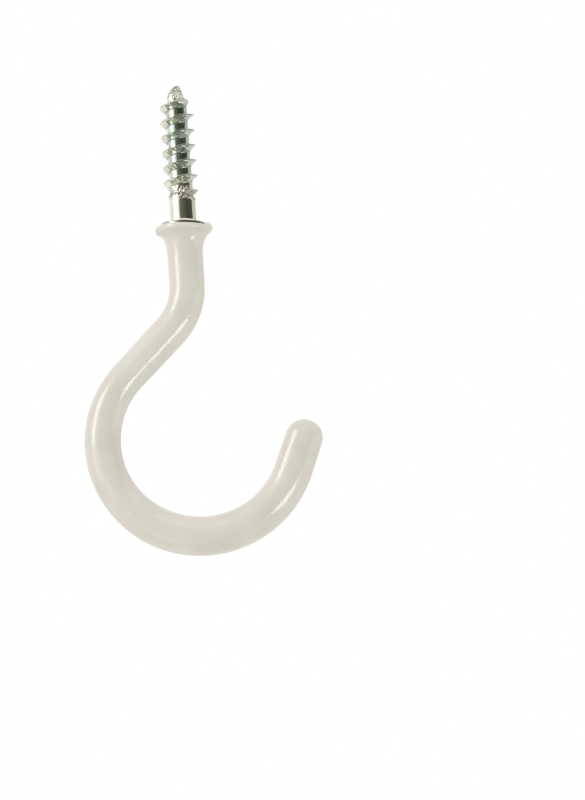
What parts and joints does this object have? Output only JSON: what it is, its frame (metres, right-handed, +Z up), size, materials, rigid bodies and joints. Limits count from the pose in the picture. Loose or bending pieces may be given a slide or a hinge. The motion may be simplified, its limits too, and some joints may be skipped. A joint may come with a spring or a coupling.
{
  "type": "plant hook",
  "caption": "Steel screw hook dipped in white vinyl, with a wood-screw thread, a collar and a round open hook, for hanging plants from a ceiling beam.",
  "frame": {"origin": "middle of the collar's seat, on the screw's axis", "axes": "+Z up the screw to its point, +X towards the open side of the hook, +Y across the plane of the hook"},
  "size_m": [0.0331, 0.008, 0.0668],
  "materials": {
    "zinc_steel": "bright zinc plate",
    "white_vinyl": "glossy dipped vinyl"
  },
  "bodies": {
    "root": {"steel_hook": "zinc_steel", "vinyl_coating": "white_vinyl"}
  },
  "joints": []
}
